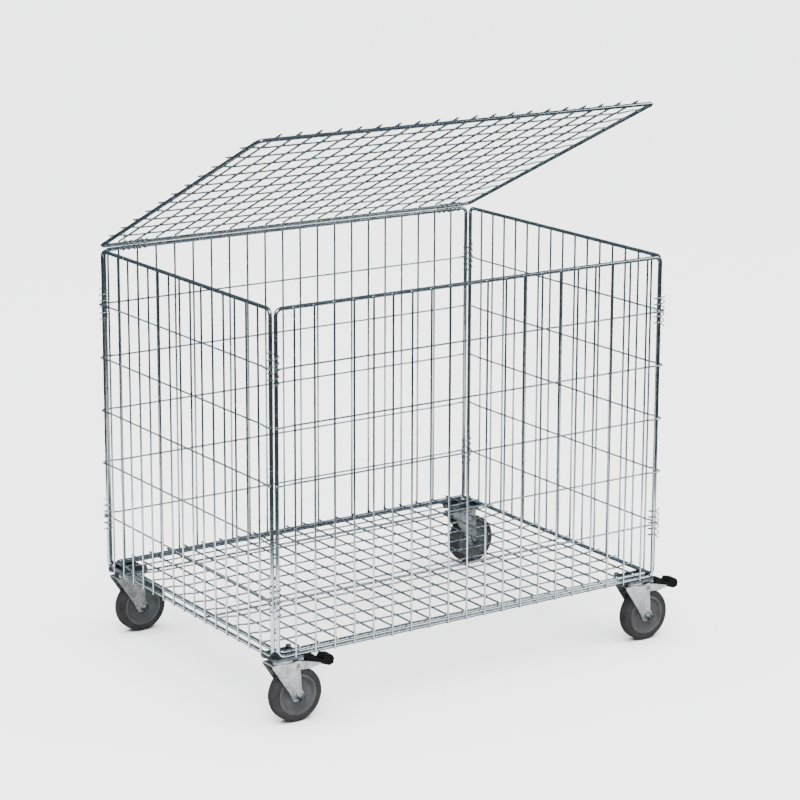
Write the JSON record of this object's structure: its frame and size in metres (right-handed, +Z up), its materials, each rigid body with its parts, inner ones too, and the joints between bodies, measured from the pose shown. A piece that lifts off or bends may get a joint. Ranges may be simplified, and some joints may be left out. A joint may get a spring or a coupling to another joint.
{
  "type": "roll cage container",
  "caption": "Wire-mesh container on swivel casters, with a coil-hinged mesh lid and foot brakes on the front casters.",
  "frame": {"origin": "on the ground under the middle of the container", "axes": "+X along the front from left to right, +Y from the front to the back, +Z up"},
  "size_m": [1.145, 0.7932, 1.2947],
  "materials": {
    "zinc_frame": "bright zinc plating, cold blue-grey, satin",
    "zinc_mesh": "bright zinc plating on drawn wire",
    "coil_wire": "bright zinc plating on spring wire",
    "zinc_plate": "zinc-plated pressed steel",
    "zinc_fork": "mottled zinc-plated pressed steel",
    "fastener_steel": "bright zinc-plated hardware",
    "ball_steel": "polished bearing steel, greased",
    "hub_plastic": "matt mid-grey moulded plastic",
    "tyre_rubber": "dark grey solid rubber",
    "cap_plastic": "matt black moulded plastic"
  },
  "bodies": {
    "root": {"front_frame": "zinc_frame", "front_upright_bars": "zinc_mesh", "front_cross_wires": "zinc_mesh", "back_frame": "zinc_frame", "back_upright_bars": "zinc_mesh", "back_cross_wires": "zinc_mesh", "left_frame": "zinc_frame", "left_upright_bars": "zinc_mesh", "left_cross_wires": "zinc_mesh", "right_frame": "zinc_frame", "right_upright_bars": "zinc_mesh", "right_cross_wires": "zinc_mesh", "floor_frame": "zinc_frame", "floor_bars": "zinc_mesh", "floor_cross_wires": "zinc_mesh", "floor_stiffeners": "zinc_mesh", "corner_coils": "coil_wire", "hinge_coils": "coil_wire", "mounting_plates": "zinc_plate", "swivel_balls": "ball_steel", "kingpins": "fastener_steel", "plate_bolts": "fastener_steel", "plate_nuts": "fastener_steel", "top_plate_fl": "zinc_plate", "top_plate_fr": "zinc_plate", "top_plate_bl": "zinc_plate", "top_plate_br": "zinc_plate"},
    "lid": {"lid_frame": "zinc_frame", "lid_bars": "zinc_mesh", "lid_cross_wires": "zinc_mesh"},
    "swivel_fl": {"fork_fl": "zinc_fork", "axle_bolt_fl": "fastener_steel", "axle_nut_fl": "fastener_steel", "axle_sleeve_fl": "fastener_steel", "pedal_rivet_fl": "fastener_steel"},
    "wheel_fl": {"hub_fl": "hub_plastic", "tyre_fl": "tyre_rubber"},
    "brake_fl": {"pedal_fl": "zinc_fork", "pedal_cap_fl": "cap_plastic"},
    "swivel_fr": {"fork_fr": "zinc_fork", "axle_bolt_fr": "fastener_steel", "axle_nut_fr": "fastener_steel", "axle_sleeve_fr": "fastener_steel", "pedal_rivet_fr": "fastener_steel"},
    "wheel_fr": {"hub_fr": "hub_plastic", "tyre_fr": "tyre_rubber"},
    "brake_fr": {"pedal_fr": "zinc_fork", "pedal_cap_fr": "cap_plastic"},
    "swivel_bl": {"fork_bl": "zinc_fork", "axle_bolt_bl": "fastener_steel", "axle_nut_bl": "fastener_steel", "axle_sleeve_bl": "fastener_steel"},
    "wheel_bl": {"hub_bl": "hub_plastic", "tyre_bl": "tyre_rubber"},
    "swivel_br": {"fork_br": "zinc_fork", "axle_bolt_br": "fastener_steel", "axle_nut_br": "fastener_steel", "axle_sleeve_br": "fastener_steel"},
    "wheel_br": {"hub_br": "hub_plastic", "tyre_br": "tyre_rubber"}
  },
  "joints": [
    {"name": "lid_hinge", "type": "hinge", "parent": "root", "child": "lid", "pos_m": [0, 0.386, 0.9425], "axis": [-1, 0, 0], "range_deg": [-25.1, 104.9]},
    {"name": "swivel_turn_fl", "type": "hinge", "parent": "root", "child": "swivel_fl", "pos_m": [-0.487, -0.355, 0.149], "axis": [0, 0, 1], "continuous": true},
    {"name": "wheel_spin_fl", "type": "hinge", "parent": "swivel_fl", "child": "wheel_fl", "pos_m": [-0.4564, -0.355, 0.0625], "axis": [0, 1, 0], "continuous": true},
    {"name": "brake_press_fl", "type": "hinge", "parent": "swivel_fl", "child": "brake_fl", "pos_m": [-0.46, -0.355, 0.1325], "axis": [0, 1, 0], "range_deg": [0, 10]},
    {"name": "swivel_turn_fr", "type": "hinge", "parent": "root", "child": "swivel_fr", "pos_m": [0.487, -0.355, 0.149], "axis": [0, 0, 1], "continuous": true},
    {"name": "wheel_spin_fr", "type": "hinge", "parent": "swivel_fr", "child": "wheel_fr", "pos_m": [0.5176, -0.355, 0.0625], "axis": [0, 1, 0], "continuous": true},
    {"name": "brake_press_fr", "type": "hinge", "parent": "swivel_fr", "child": "brake_fr", "pos_m": [0.514, -0.355, 0.1325], "axis": [0, 1, 0], "range_deg": [0, 10]},
    {"name": "swivel_turn_bl", "type": "hinge", "parent": "root", "child": "swivel_bl", "pos_m": [-0.487, 0.355, 0.149], "axis": [0, 0, 1], "continuous": true},
    {"name": "wheel_spin_bl", "type": "hinge", "parent": "swivel_bl", "child": "wheel_bl", "pos_m": [-0.4564, 0.355, 0.0625], "axis": [0, 1, 0], "continuous": true},
    {"name": "swivel_turn_br", "type": "hinge", "parent": "root", "child": "swivel_br", "pos_m": [0.487, 0.355, 0.149], "axis": [0, 0, 1], "continuous": true},
    {"name": "wheel_spin_br", "type": "hinge", "parent": "swivel_br", "child": "wheel_br", "pos_m": [0.5176, 0.355, 0.0625], "axis": [0, 1, 0], "continuous": true}
  ]
}
